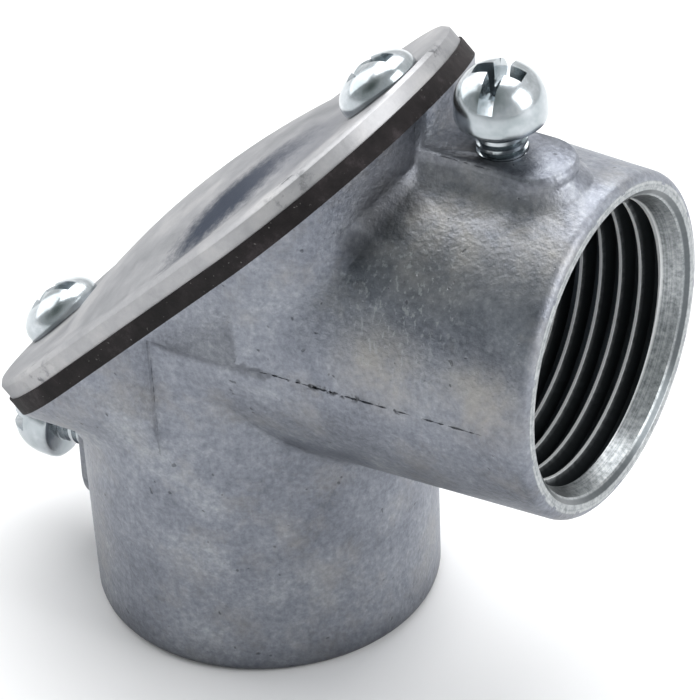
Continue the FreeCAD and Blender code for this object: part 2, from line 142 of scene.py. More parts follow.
# Warm oxide in clouds 6.7 mm across: a little everywhere, and most beside the set screw's boss and under the
# side hub's middle. Each of these spots has its centre and its reach.
WARM_SPOTS = (((0.0235, -0.0075, 0.0475), 0.0090), ((0.0305, -0.0065, 0.0472), 0.0070),
              ((0.0212, -0.0145, 0.0374), 0.0060), ((0.0300, -0.0143, 0.0368), 0.0060))
warm_noise = add(die_cast_zinc, "TexNoise", Vector=spot, Scale=150.0, Detail=7.0, Roughness=0.7)
warm = add(die_cast_zinc, "MapRange", Value=warm_noise.outputs[0], From_Min=0.5, From_Max=0.72, To_Min=0.0,
           To_Max=0.35).outputs[0]
broken = add(die_cast_zinc, "MapRange", Value=mottle.outputs[0], From_Min=0.36, From_Max=0.64, To_Min=0.1,
             To_Max=0.55)
for centre, reach in WARM_SPOTS:
    gap = add(die_cast_zinc, "VectorMath", {"operation": "DISTANCE"}, i0=spot, i1=centre)
    near = add(die_cast_zinc, "MapRange", {"interpolation_type": "SMOOTHSTEP"}, Value=gap.outputs["Value"],
               From_Min=0.2 * reach, From_Max=reach, To_Min=1.0, To_Max=0.0)
    here = add(die_cast_zinc, "Math", {"operation": "MULTIPLY"}, i0=near.outputs[0], i1=broken.outputs[0])
    warm = add(die_cast_zinc, "Math", {"operation": "MAXIMUM"}, i0=warm, i1=here.outputs[0]).outputs[0]
warmed = add(die_cast_zinc, "Mix", {"data_type": "RGBA"}, Factor=warm, i6=skin.outputs[0],
             i7=colour("#9f9a91"))

# Pinholes 0.8 mm apart, sparse over the casting, and pores 0.9 mm apart in a band 0.5 mm wide along the die's
# parting line, on the side hub only. Both are dark with dirt.
apart = add(die_cast_zinc, "SeparateXYZ", Vector=spot)
pin_noise = add(die_cast_zinc, "TexNoise", Vector=spot, Scale=1300.0, Detail=1.0, Roughness=0.5)
pinholes = add(die_cast_zinc, "MapRange", Value=pin_noise.outputs[0], From_Min=0.74, From_Max=0.78,
               To_Min=0.0, To_Max=0.5)
off_line = add(die_cast_zinc, "Math", {"operation": "SUBTRACT"}, i0=apart.outputs["Z"], i1=PARTING_HEIGHT)
line_gap = add(die_cast_zinc, "Math", {"operation": "ABSOLUTE"}, i0=off_line.outputs[0])
on_line = add(die_cast_zinc, "MapRange", Value=line_gap.outputs[0], From_Min=0.00012, From_Max=0.00042,
              To_Min=1.0, To_Max=0.0)
out_from_middle = add(die_cast_zinc, "MapRange", Value=apart.outputs["X"], From_Min=0.0, From_Max=0.04)
along_line = add(die_cast_zinc, "ValToRGB", i0=out_from_middle.outputs[0],
                 stops=((0.30, "#000000"), (0.34, "#f0f0f0"), (0.58, "#e0e0e0"), (0.64, "#404040")))
pore_noise = add(die_cast_zinc, "TexNoise", Vector=spot, Scale=1100.0, Detail=2.0, Roughness=0.6)
pores = add(die_cast_zinc, "MapRange", Value=pore_noise.outputs[0], From_Min=0.53, From_Max=0.59,
            To_Min=0.0, To_Max=1.0)
band_pores = add(die_cast_zinc, "Math", {"operation": "MULTIPLY"}, i0=on_line.outputs[0],
                 i1=pores.outputs[0])
line_pores = add(die_cast_zinc, "Math", {"operation": "MULTIPLY"}, i0=band_pores.outputs[0],
                 i1=along_line.outputs[0])
holes = add(die_cast_zinc, "Math", {"operation": "MAXIMUM"}, i0=pinholes.outputs[0],
            i1=line_pores.outputs[0])
pitted = add(die_cast_zinc, "Mix", {"data_type": "RGBA"}, Factor=holes.outputs[0], i6=warmed.outputs[2],
             i7=colour("#2c2e31"))

# Rub marks: short light scratches, most of them on the front of the side hub. Real ones are under 0.1 mm
# wide. They are drawn 0.4 mm wide and 2.4 mm long, since finer ones don't show.
STREAK_TILT, STREAK_STRETCH = 0.35, 0.16
RUB_CENTRE = (0.0222, -0.0120, 0.0432)
streak_place = add(die_cast_zinc, "Mapping", Vector=spot, Rotation=(0.0, STREAK_TILT, 0.0),
                   Scale=(1.0, 1.0, STREAK_STRETCH))
streak_noise = add(die_cast_zinc, "TexNoise", Vector=streak_place.outputs[0], Scale=2600.0, Detail=2.0,
                   Roughness=0.6)
streaks = add(die_cast_zinc, "MapRange", Value=streak_noise.outputs[0], From_Min=0.57, From_Max=0.66,
              To_Min=0.0, To_Max=1.0)
rub_gap = add(die_cast_zinc, "VectorMath", {"operation": "DISTANCE"}, i0=spot, i1=RUB_CENTRE)
rubbed = add(die_cast_zinc, "MapRange", {"interpolation_type": "SMOOTHSTEP"}, Value=rub_gap.outputs["Value"],
             From_Min=0.001, From_Max=0.0085, To_Min=0.65, To_Max=0.06)
scratches = add(die_cast_zinc, "Math", {"operation": "MULTIPLY"}, i0=streaks.outputs[0],
                i1=rubbed.outputs[0])
scratched = add(die_cast_zinc, "Mix", {"data_type": "RGBA"}, Factor=scratches.outputs[0],
                i6=pitted.outputs[2], i7=colour("#b4b8bb"))

# The skin's relief: pebbles of 0.3 mm, drawn 0.45 mm to show, with the holes sunk into them, on swells of
# 2.4 mm. Paler mottling is duller.
dulled = add(die_cast_zinc, "MapRange", Value=broad.outputs[0], From_Min=0.35, From_Max=0.65, To_Min=0.36,
             To_Max=0.52)
pebbles = add(die_cast_zinc, "TexNoise", Vector=spot, Scale=2200.0, Detail=3.0, Roughness=0.6)
deep = add(die_cast_zinc, "Math", {"operation": "MULTIPLY_ADD"}, i0=holes.outputs[0], i1=-1.2,
           i2=pebbles.outputs[0])
swells = add(die_cast_zinc, "TexNoise", Vector=spot, Scale=420.0, Detail=4.0, Roughness=0.55)
waves = add(die_cast_zinc, "Bump", Strength=0.18, Distance=0.00025, Height=swells.outputs[0])
relief = add(die_cast_zinc, "Bump", Strength=0.55, Distance=0.00012, Height=deep.outputs[0],
             Normal=waves.outputs[0])

# Painted shade darkens corners up to 5 mm wide, and above all the valleys between the upper ear and its hub.
# Their centres are given for the back, and the front mirrors them.
VALLEY_SPOTS = (((0.0186, 0.0066, 0.0482), 0.0032), ((0.0181, 0.0083, 0.0470), 0.0034),
                ((0.0173, 0.0102, 0.0455), 0.0028))
crevice = add(die_cast_zinc, "AmbientOcclusion", {"samples": 6}, Distance=0.005)
painted_corner_shade = add(die_cast_zinc, "MapRange", Value=crevice.outputs["AO"], From_Min=0.30, From_Max=0.85, To_Min=0.60,
           To_Max=0.0).outputs[0]
off_middle = add(die_cast_zinc, "Math", {"operation": "ABSOLUTE"}, i0=apart.outputs["Y"])
folded = add(die_cast_zinc, "CombineXYZ", X=apart.outputs["X"], Y=off_middle.outputs[0],
             Z=apart.outputs["Z"])
for centre, reach in VALLEY_SPOTS:
    gap = add(die_cast_zinc, "VectorMath", {"operation": "DISTANCE"}, i0=folded.outputs[0], i1=centre)
    near = add(die_cast_zinc, "MapRange", {"interpolation_type": "SMOOTHSTEP"}, Value=gap.outputs["Value"],
               From_Min=0.2 * reach, From_Max=reach, To_Min=0.72, To_Max=0.0)
    painted_corner_shade = add(die_cast_zinc, "Math", {"operation": "MAXIMUM"}, i0=painted_corner_shade, i1=near.outputs[0]).outputs[0]
# Painted shade: the corners and the ear valleys are mixed towards near black.
corner_shaded = add(die_cast_zinc, "Mix", {"data_type": "RGBA"}, Factor=painted_corner_shade, i6=scratched.outputs[2],
             i7=colour("#202226"))
finish_material(die_cast_zinc, Base_Color=corner_shaded.outputs[2], Metallic=0.95, Roughness=dulled.outputs[0],
                Normal=relief.outputs[0])

# Cut zinc alloy is bright, with the cutter's rings round it and a torn grain of 0.5 mm. Real rings are under
# 0.1 mm apart. They are drawn 0.25 mm apart, since finer ones don't show.
cut_zinc = new_material("cut zinc alloy")
cut_spot = add(cut_zinc, "TexCoord").outputs["Object"]
cut_apart = add(cut_zinc, "SeparateXYZ", Vector=cut_spot)
side_up = add(cut_zinc, "Math", {"operation": "SUBTRACT"}, i0=cut_apart.outputs["Z"], i1=CROSSING.z)
from_side = add(cut_zinc, "CombineXYZ", X=cut_apart.outputs["Y"], Y=side_up.outputs[0])
from_lower = add(cut_zinc, "CombineXYZ", X=cut_apart.outputs["Y"], Y=cut_apart.outputs["X"])
side_radius = add(cut_zinc, "VectorMath", {"operation": "LENGTH"}, i0=from_side.outputs[0])
lower_radius = add(cut_zinc, "VectorMath", {"operation": "LENGTH"}, i0=from_lower.outputs[0])
radius = add(cut_zinc, "Math", {"operation": "MINIMUM"}, i0=side_radius.outputs["Value"],
             i1=lower_radius.outputs["Value"])
mouth_out = add(cut_zinc, "Math", {"operation": "MAXIMUM"}, i0=cut_apart.outputs["X"],
                i1=side_up.outputs[0])
lower_out = add(cut_zinc, "Math", {"operation": "MULTIPLY"}, i0=side_up.outputs[0], i1=-1.0)
mouth_reach = add(cut_zinc, "Math", {"operation": "MAXIMUM"}, i0=mouth_out.outputs[0],
                  i1=lower_out.outputs[0])
turned = add(cut_zinc, "Math", {"operation": "ADD"}, i0=radius.outputs[0], i1=mouth_reach.outputs[0])
turned_line = add(cut_zinc, "CombineXYZ", X=turned.outputs[0])
tool_marks = add(cut_zinc, "TexNoise", Vector=turned_line.outputs[0], Scale=4000.0, Detail=3.0,
                 Roughness=0.7)
grain = add(cut_zinc, "TexNoise", Vector=cut_spot, Scale=2000.0, Detail=3.0, Roughness=0.7)
ringed = add(cut_zinc, "Mix", {"data_type": "FLOAT"}, Factor=0.5, A=tool_marks.outputs[0],
             B=grain.outputs[0])
bright = add(cut_zinc, "ValToRGB", i0=ringed.outputs[0],
             stops=((0.38, "#6b7072"), (0.50, "#929698"), (0.62, "#b0b3b4")))

# The thread's groove and a fine line at the edge of the mouth are darkened with painted shade. The crest, at
# the bore, is a painted highlight: almost white and less metallic.
# Painted shade: deep in the groove, and in a fine line just inside the mouth's rim.
groove_depth = add(cut_zinc, "MapRange", Value=radius.outputs[0], From_Min=BORE + 0.00005, From_Max=BORE + 0.00045,
          To_Min=0.0, To_Max=1.0)
inside = add(cut_zinc, "MapRange", Value=mouth_reach.outputs[0],
             From_Min=HUB_REACH - LEAD_IN_DEPTH - 0.0001, From_Max=HUB_REACH - LEAD_IN_DEPTH + 0.0003,
             To_Min=1.0, To_Max=0.0)
painted_groove_shade = add(cut_zinc, "Math", {"operation": "MULTIPLY"}, i0=groove_depth.outputs[0], i1=inside.outputs[0])
rim_reach = add(cut_zinc, "MapRange", Value=mouth_reach.outputs[0], From_Min=HUB_REACH - 0.00005,
                From_Max=HUB_REACH - 0.00001, To_Min=0.9, To_Max=0.0)
rim_inside = add(cut_zinc, "MapRange", Value=radius.outputs[0], From_Min=LEAD_IN_RADIUS - 0.00010,
                 From_Max=LEAD_IN_RADIUS, To_Min=0.0, To_Max=1.0)
painted_rim_shadow = add(cut_zinc, "Math", {"operation": "MULTIPLY"}, i0=rim_reach.outputs[0],
               i1=rim_inside.outputs[0])
painted_groove_and_rim_shade = add(cut_zinc, "Math", {"operation": "MAXIMUM"}, i0=painted_groove_shade.outputs[0],
            i1=painted_rim_shadow.outputs[0])
shaded_thread_tone = add(cut_zinc, "Mix", {"data_type": "RGBA"}, Factor=painted_groove_and_rim_shade.outputs[0], i6=bright.outputs[0],
                  i7=colour("#505558"))
# Painted highlight: the crest is coloured near white and made less metallic.
painted_crest_highlight = add(cut_zinc, "MapRange", Value=radius.outputs[0], From_Min=BORE + 0.00002,
            From_Max=BORE + 0.00010, To_Min=1.0, To_Max=0.0)
highlighted_thread_tone = add(cut_zinc, "Mix", {"data_type": "RGBA"}, Factor=painted_crest_highlight.outputs[0], i6=shaded_thread_tone.outputs[2],
                 i7=colour("#e6e8e8"))
metal = add(cut_zinc, "MapRange", Value=painted_crest_highlight.outputs[0], To_Min=0.85, To_Max=0.25)
finish_material(cut_zinc, Base_Color=highlighted_thread_tone.outputs[2], Metallic=metal.outputs[0], Roughness=0.28)


def piece_from(shape, name):
    """An object from a bmesh, its faces turned outwards."""
    bmesh.ops.recalc_face_normals(shape, faces=shape.faces)
    mesh = bpy.data.meshes.new(name)
    shape.to_mesh(mesh)
    shape.free()
    piece = bpy.data.objects.new(name, mesh)
    scene.collection.objects.link(piece)
    return piece


def merged_copy(node, name):
    """A copy of a CAD node's mesh with its corners joined."""
    shape = bmesh.new()
    shape.from_mesh(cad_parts[node].data)
    bmesh.ops.remove_doubles(shape, verts=shape.verts, dist=1e-6)
    return piece_from(shape, name)


def cut_away(piece, *tools):
    """Cuts the tools out of a piece, keeps the cut mesh and removes the tools."""
    for tool in tools:
        cutter = piece.modifiers.new("cut", "BOOLEAN")
        cutter.operation = "DIFFERENCE"
        cutter.solver = "MANIFOLD"
        cutter.object = tool
    bpy.context.view_layer.update()
    cut = bpy.data.meshes.new_from_object(piece.evaluated_get(bpy.context.evaluated_depsgraph_get()))
    piece.modifiers.clear()
    piece.data = cut
    for tool in tools:
        bpy.data.objects.remove(tool)


def smooth(piece, degrees):
    """Smooth shading, with edges sharper than that many degrees left sharp."""
    piece.data.shade_smooth()
    piece.data.set_sharp_from_angle(angle=math.radians(degrees))


def wound(profile, pitch, turns, steps):
    """A closed profile of (radius, height) corners wound about Z with that pitch, in so many steps a turn."""
    shape = bmesh.new()
    corners = [shape.verts.new((r, 0, z)) for r, z in profile]
    face = shape.faces.new(corners)
    bmesh.ops.spin(shape, geom=[face] + list(face.edges) + corners, cent=(0, 0, 0), axis=(0, 0, 1),
                   dvec=(0, 0, pitch / steps), angle=math.tau * turns, steps=round(steps * turns),
                   use_merge=False, use_duplicate=False)
    return shape


def lead_in_cone(inner, outer, depth):
    """A cone about Z that opens from one radius to another over that depth below the mouth. It goes a little
    past both, so that it cuts cleanly."""
    over = 0.0005
    widening = (outer - inner) / depth
    cone = bmesh.new()
    bmesh.ops.create_cone(cone, cap_ends=True, segments=ROUND_STEPS, depth=depth + 2 * over,
                          radius1=inner - over * widening, radius2=outer + over * widening)
    bmesh.ops.translate(cone, vec=(0, 0, HUB_REACH - depth / 2), verts=cone.verts)
    return cone


def mouth_ring():
    """A ring about Z that rounds the mouth's outer edge. It turns through 78 degrees and then goes straight
    on, so that it leaves the hub's drafted side at a clear angle."""
    above, outside = 0.0005, 0.0003
    face_radius = HUB_RADIUS - HUB_DRAFT * HUB_REACH
    arc = [(face_radius - MOUTH_ROUND * (1 - math.sin(a)), HUB_REACH - MOUTH_ROUND * (1 - math.cos(a)))
           for a in (math.radians(13 * step) for step in range(7))]
    outline = [(face_radius + outside, HUB_REACH + above), (arc[0][0], HUB_REACH + above)] + arc
    outline.append((face_radius + outside, arc[-1][1] - outside / math.tan(math.radians(12))))
    ring = bmesh.new()
    points = [ring.verts.new((r, 0, z)) for r, z in outline]
    slice_face = ring.faces.new(points)
    bmesh.ops.spin(ring, geom=[slice_face] + list(slice_face.edges) + points, cent=(0, 0, 0),
                   axis=(0, 0, 1), angle=math.tau, steps=ROUND_STEPS, use_merge=True, use_duplicate=False)
    slices = [face for face in ring.faces if len(face.verts) > 4]
    bmesh.ops.delete(ring, geom=slices, context="FACES_ONLY")
    return ring


def thread_groove():
    """The groove of a right-hand conduit thread about Z. Over its first and last steps it comes up out of the
    wall into the bore, where the cutter runs in and out."""
    half_mouth, half_root, clear = 0.00080, 0.00022, 0.0004
    innermost = BORE - clear
    profile = [(innermost, -half_mouth), (BORE, -half_mouth), (THREAD_ROOT, -half_root),
               (THREAD_ROOT, half_root), (BORE, half_mouth), (innermost, half_mouth)]
    groove = wound(profile, -THREAD_PITCH, THREAD_TURNS, THREAD_STEPS)
    for corner in groove.verts:
        part_turn = math.atan2(corner.co.y, corner.co.x) / math.tau
        turn = part_turn + round(corner.co.z / -THREAD_PITCH - part_turn)
        from_end = min(turn, THREAD_TURNS - turn) * THREAD_STEPS / RUN_OUT_STEPS
        depth = min(1.0, max(0.02, from_end))
        off_axis = math.hypot(corner.co.x, corner.co.y)
        scale = (innermost + (off_axis - innermost) * depth) / off_axis
        corner.co.x *= scale
        corner.co.y *= scale
    start_angle = Matrix.Rotation(math.radians(150), 3, "Z")
    bmesh.ops.rotate(groove, cent=(0, 0, 0), matrix=start_angle, verts=groove.verts)
    bmesh.ops.translate(groove, vec=(0, 0, THREAD_START), verts=groove.verts)
    return groove


def hub_cutters(turn_to):
    """All the cutters of one hub, turned and moved to it."""
    cutters = []
    for shape in (lead_in_cone(BORE, LEAD_IN_RADIUS, LEAD_IN_DEPTH),
                  lead_in_cone(LEAD_IN_RADIUS, RIM_RADIUS, RIM_DEPTH), mouth_ring(), thread_groove()):
        bmesh.ops.transform(shape, matrix=Matrix.Translation(CROSSING) @ turn_to, verts=shape.verts)
        cutters.append(piece_from(shape, "cutter"))
    return cutters


def mark_cut_faces(casting):
    """Gives the faced mouths and the threaded ends of the bores the cut metal, and the rest the cast one."""
    casting.data.materials.clear()
    casting.data.materials.append(die_cast_zinc)
    casting.data.materials.append(cut_zinc)
    for face in casting.data.polygons:
        out_x, out_z = face.center.x, CROSSING.z - face.center.z
        off_axis = math.hypot(face.center.y, out_z if out_x > out_z else out_x)
        out = max(out_x, out_z)
        in_thread = off_axis < THREAD_ROOT + 0.0001 and out > CUT_FROM
        face.material_index = int(out > HUB_REACH - 1e-5 or in_thread)


def sharpen_cut_rings(casting):
    """Leaves the edges of the cut faces sharp where the slope along the hub's axis changes, so that each ring
    shades evenly."""
    shape = bmesh.new()
    shape.from_mesh(casting.data)
    for edge in shape.edges:
        if len(edge.link_faces) == 2 and any(face.material_index for face in edge.link_faces):
            along = "x" if edge.verts[0].co.x > CROSSING.z - edge.verts[0].co.z else "z"
            slopes = [abs(getattr(face.normal, along)) for face in edge.link_faces]
            edge.smooth = edge.smooth and abs(slopes[0] - slopes[1]) < SLOPE_CHANGE
    shape.to_mesh(casting.data)
    shape.free()


elbow = merged_copy("elbow_body", "elbow_casting")
to_side_hub = Matrix.Rotation(math.radians(90), 4, "Y")
to_lower_hub = Matrix.Rotation(math.radians(180), 4, "X")
cut_away(elbow, *hub_cutters(to_side_hub), *hub_cutters(to_lower_hub))
mark_cut_faces(elbow)
smooth(elbow, 40)
sharpen_cut_rings(elbow)
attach(elbow, "elbow")
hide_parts("elbow_body")

# The flash: a thin, ragged fin of zinc that squeezed out between the halves of the die, broken off by hand.
# It runs out along each side of the side hub, a little way down each side of the lower hub, and along the
# front of the side hub's boss.
FIN_STEP, FIN_HALF_WIDTH, FIN_ROOT = 0.0003, 0.00009, 0.0003
FADE_IN_STEPS, FADE_OUT_STEPS = 6, 12


def flash_fin(name, start, end, out, stand, bare=0.2):
    """A fin from start to end on the casting's surface, standing out from it. Its crest is drawn at random
    between that share of its height below the surface and its full height above it."""
    along = end - start
    across = along.normalized().cross(out) * FIN_HALF_WIDTH
    steps = round(along.length / FIN_STEP)
    fin = bmesh.new()
    root = start - out * FIN_ROOT
    corners = [fin.verts.new(root + across), fin.verts.new(root - across), fin.verts.new(start)]
    slice_face = fin.faces.new(corners)
    ragged = random.Random(name)
    for number in range(steps):
        grown = bmesh.ops.extrude_face_region(fin, geom=[slice_face])["geom"]
        moved = [part for part in grown if isinstance(part, bmesh.types.BMVert)]
        bmesh.ops.translate(fin, vec=along / steps, verts=moved)
        slice_face = next(part for part in grown if isinstance(part, bmesh.types.BMFace))
        crest_corner = max(moved, key=lambda corner: corner.co.dot(out))
        fade = min(1.0, number / FADE_IN_STEPS, (steps - number) / FADE_OUT_STEPS)
        on_surface = start + along * (number + 1) / steps
        crest_corner.co = on_surface + out * stand * (ragged.uniform(0, 1 + bare) * fade - bare)
    piece = piece_from(fin, name)
    piece.data.materials.append(die_cast_zinc)
    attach(piece, "elbow")


def on_hub(side, reach, x, z):
    """The point on a hub's front (side -1) or back (side 1), at that reach from the crossing."""
    return Vector((x, side * (HUB_RADIUS - HUB_DRAFT * reach), z))


for side, hand in ((-1, "front"), (1, "back")):
    flash_fin(f"side_hub_{hand}_flash", on_hub(side, 0.0062, 0.0062, PARTING_HEIGHT),
              on_hub(side, 0.0315, 0.0315, PARTING_HEIGHT), Vector((0, side, 0)), stand=0.00016)
    flash_fin(f"lower_hub_{hand}_flash", on_hub(side, 0.0006, 0, 0.0336), on_hub(side, 0.0102, 0, 0.0240),
              Vector((0, side, 0)), stand=0.00012)
flash_fin("boss_flash", Vector((0.0193, -0.0031, 0.0507)), Vector((0.0279, -0.0031, 0.0507)),
          Vector((0, -0.6, 0.8)), stand=0.0002, bare=0.5)

# The gasket: black sheet rubber, die cut to the flange and squeezed between flange and cover. It gives a dull
# black with grey dust in clouds of 2.4 mm and spots of lint 0.4 mm apart.
sheet_rubber = new_material("black sheet rubber")
rubber_spot = add(sheet_rubber, "TexCoord").outputs["Object"]
dust = add(sheet_rubber, "TexNoise", Vector=rubber_spot, Scale=420.0, Detail=8.0, Roughness=0.7)
lint = add(sheet_rubber, "TexNoise", Vector=rubber_spot, Scale=2400.0, Detail=2.0)
lint_spots = add(sheet_rubber, "MapRange", Value=lint.outputs[0], From_Min=0.70, From_Max=0.76, To_Min=0.0,
                 To_Max=0.6)
rubber_tone = add(sheet_rubber, "ValToRGB", i0=dust.outputs[0],
                  stops=((0.36, "#131011"), (0.55, "#221e1f"), (0.72, "#403a3c")))
rubber_colour = add(sheet_rubber, "Mix", {"data_type": "RGBA"}, Factor=lint_spots.outputs[0],
                    i6=rubber_tone.outputs[0], i7=colour("#8d8a88"))
cut_edge = add(sheet_rubber, "Bump", Strength=0.6, Distance=0.00015, Height=dust.outputs[0])
finish_material(sheet_rubber, Base_Color=rubber_colour.outputs[2], Roughness=0.85, Specular_IOR_Level=0.3,
                Normal=cut_edge.outputs[0])
gasket = merged_copy("cover_gasket", "gasket_sheet")
gasket.data.materials.clear()
gasket.data.materials.append(sheet_rubber)
smooth(gasket, 32)
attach(gasket, "cover")
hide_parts("cover_gasket")

# The cover: steel plate with a low dome pressed up between its two screws, zinc flashed and then handled. It
# gives a pale satin metal with faint clouds of 7.7 mm, one dark painted reflection aslant on the dome, and a
# softer spot of painted shade towards the upper screw. Its roll grain is drawn 0.7 mm, coarser than the real
# one, so that it shows.
REFLECTION_PATCH_CENTRE = (0.00389, -0.0078, 0.04417)
REFLECTION_PATCH_HALF_SIZE = (0.0085, 0.0034, 0.005)
SHADE_SPOT_CENTRE, SHADE_SPOT_REACH = (0.0085, -0.0040, 0.0492), 0.0085
satin_steel = new_material("satin zinc flashed steel")
steel_spot = add(satin_steel, "TexCoord").outputs["Object"]
clouds = add(satin_steel, "TexNoise", Vector=steel_spot, Scale=130.0, Detail=10.0, Roughness=0.72)
steel_tone = add(satin_steel, "ValToRGB", i0=clouds.outputs[0],
                 stops=((0.32, "#939496"), (0.50, "#a8a8aa"), (0.68, "#bdbcbc")))
patch_long, patch_wide = Vector((0.5, math.sqrt(0.5), 0.5)), Vector((0.5, -math.sqrt(0.5), 0.5))
patch_turn = Matrix((patch_long, patch_wide, patch_long.cross(patch_wide))).transposed().to_euler()
# Painted reflection: a dark ragged oval aslant on the dome.
patch_place = add(satin_steel, "Mapping", {"vector_type": "TEXTURE"}, Vector=steel_spot,
                  Location=REFLECTION_PATCH_CENTRE, Rotation=patch_turn, Scale=REFLECTION_PATCH_HALF_SIZE)
patch_reach = add(satin_steel, "VectorMath", {"operation": "LENGTH"}, i0=patch_place.outputs[0])
grit = add(satin_steel, "TexNoise", Vector=steel_spot, Scale=1500.0, Detail=4.0, Roughness=0.75)
ragged_reach = add(satin_steel, "Math", {"operation": "MULTIPLY_ADD"}, i0=grit.outputs[0], i1=0.9,
                   i2=patch_reach.outputs["Value"])
painted_reflection = add(satin_steel, "MapRange", {"interpolation_type": "SMOOTHSTEP"}, Value=ragged_reach.outputs[0],
            From_Min=0.85, From_Max=1.65, To_Min=0.95, To_Max=0.0)
reflection_painted = add(satin_steel, "Mix", {"data_type": "RGBA"}, Factor=painted_reflection.outputs[0], i6=steel_tone.outputs[0],
              i7=colour("#3d434f"))
# Painted shade: a soft darker spot on the dome towards the upper screw.
shade_spot_gap = add(satin_steel, "VectorMath", {"operation": "DISTANCE"}, i0=steel_spot, i1=SHADE_SPOT_CENTRE)
painted_dome_shade = add(satin_steel, "MapRange", {"interpolation_type": "SMOOTHSTEP"}, Value=shade_spot_gap.outputs["Value"],
           From_Min=0.0, From_Max=SHADE_SPOT_REACH, To_Min=0.5, To_Max=0.0)
dome_shaded = add(satin_steel, "Mix", {"data_type": "RGBA"}, Factor=painted_dome_shade.outputs[0], i6=reflection_painted.outputs[2],
                i7=colour("#777a83"))

# Grey smudges, broken up at 1.1 mm, by the plate's upper end and in two places along its front edge. Each has
# its centre and its reach.
SMUDGE_SPOTS = (((0.0165, 0.0035, 0.0552), 0.0022), ((-0.0110, -0.0150, 0.0265), 0.0032),
                ((0.0120, -0.0120, 0.0508), 0.0035))
smudge_noise = add(satin_steel, "TexNoise", Vector=steel_spot, Scale=900.0, Detail=5.0, Roughness=0.7)
smudges = 0.0
for centre, reach in SMUDGE_SPOTS:
    gap = add(satin_steel, "VectorMath", {"operation": "DISTANCE"}, i0=steel_spot, i1=centre)
    near = add(satin_steel, "MapRange", Value=gap.outputs["Value"], From_Min=0.0, From_Max=reach,
               To_Min=0.85, To_Max=0.0)
    more = add(satin_steel, "Math", {"operation": "MAXIMUM"}, i0=smudges, i1=near.outputs[0])
    smudges = more.outputs[0]
grimy = add(satin_steel, "MapRange", Value=smudge_noise.outputs[0], From_Min=0.50, From_Max=0.62,
            To_Min=0.0, To_Max=1.0)
smudged = add(satin_steel, "Math", {"operation": "MULTIPLY"}, i0=smudges, i1=grimy.outputs[0])
steel_colour = add(satin_steel, "Mix", {"data_type": "RGBA"}, Factor=smudged.outputs[0],
                   i6=dome_shaded.outputs[2], i7=colour("#55575a"))
sheen = add(satin_steel, "MapRange", Value=clouds.outputs[0], From_Min=0.35, From_Max=0.65, To_Min=0.42,
            To_Max=0.52)
roll_grain = add(satin_steel, "Bump", Strength=0.35, Distance=0.00006, Height=grit.outputs[0])
finish_material(satin_steel, Base_Color=steel_colour.outputs[2], Metallic=0.8, Roughness=sheen.outputs[0],
                Specular_Tint=colour("#8f9194"), Normal=roll_grain.outputs[0])
cover = merged_copy("cover", "cover_plate")
cover.data.materials.clear()
cover.data.materials.append(satin_steel)
smooth(cover, 32)
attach(cover, "cover")
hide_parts("cover")

# The screws: number 8 steel machine screws, cold headed, thread rolled and zinc plated. Their round heads
# take a plain or a cross driver. Two hold the cover down, and one in each boss locks the conduit.
SHANK_RADIUS, SHANK_CORE, SCREW_PITCH = 0.00208, 0.00166, 0.000794
SCREW_STEPS, HEAD_STEPS, DOME_STEPS = 28, 56, 12
GROOVE_HALF_MOUTH, GROOVE_HALF_ROOT = 0.00036, 0.00006
BELOW_TIP, BELOW_HEAD = 0.0009, 0.0003
TIP_CHAMFER, FLARE = 0.0004, 0.00008
SLOT_WIDTH, WING_WIDTH, RECESS_SPAN, RECESS_FOOT = 0.00125, 0.0015, 0.0048, 0.45
FLANGE_LIFT = 0.0003
COVER_TOP = 0.0032
COVER_SCREW_REACH = 0.023099
SET_SCREW_REACH, SET_SCREW_SEAT = 0.024704, 0.0194
SET_SCREW_TURN = math.radians(99)

# Bright zinc plating is near a mirror, a little blue-green, and slightly clouded, at 1.9 mm.
zinc_plate = new_material("bright zinc plate")
plate_spot = add(zinc_plate, "TexCoord").outputs["Object"]
plate_cloud = add(zinc_plate, "TexNoise", Vector=plate_spot, Scale=520.0, Detail=5.0, Roughness=0.6)
plate_tone = add(zinc_plate, "ValToRGB", i0=plate_cloud.outputs[0],
                 stops=((0.35, "#9da5a8"), (0.55, "#b2b8bc"), (0.7, "#cacfd2")))
plate_gloss = add(zinc_plate, "MapRange", Value=plate_cloud.outputs[0], From_Min=0.35, From_Max=0.65,
                  To_Min=0.16, To_Max=0.26)
plate_relief = add(zinc_plate, "Bump", Strength=0.12, Distance=0.0001, Height=plate_cloud.outputs[0])
finish_material(zinc_plate, Base_Color=plate_tone.outputs[0], Metallic=1.0, Roughness=plate_gloss.outputs[0],
                Normal=plate_relief.outputs[0])


def screw_blank(radius, height, rim, edge, fullness, length):
    """A plain-shanked screw about Z, the underside of its head at height 0. A fullness of 2 gives a circular
    dome."""
    outline = [(0, -length), (SHANK_RADIUS - TIP_CHAMFER, -length), (SHANK_RADIUS, TIP_CHAMFER - length),
               (SHANK_RADIUS, -FLARE), (SHANK_RADIUS + FLARE, 0), (radius - edge, 0)]
    outline += [(radius - edge + edge * math.sin(a), edge - edge * math.cos(a)) for a in (0.5, 1.05)]
    outline += [(radius, edge), (radius, rim)]
    for step in range(1, DOME_STEPS):
        a = math.pi / 2 * step / DOME_STEPS
        outline.append((radius * math.cos(a) ** (2 / fullness),
                        rim + (height - rim) * math.sin(a) ** (2 / fullness)))
    outline.append((0, height))
    blank = bmesh.new()
    corners = [blank.verts.new((r, 0, z)) for r, z in outline]
    edges = [blank.edges.new(pair) for pair in zip(corners, corners[1:])]
    bmesh.ops.spin(blank, geom=corners + edges, cent=(0, 0, 0), axis=(0, 0, 1), angle=math.tau,
                   steps=HEAD_STEPS, use_merge=True, use_duplicate=False)
    bmesh.ops.remove_doubles(blank, verts=blank.verts, dist=1e-7)
    return blank


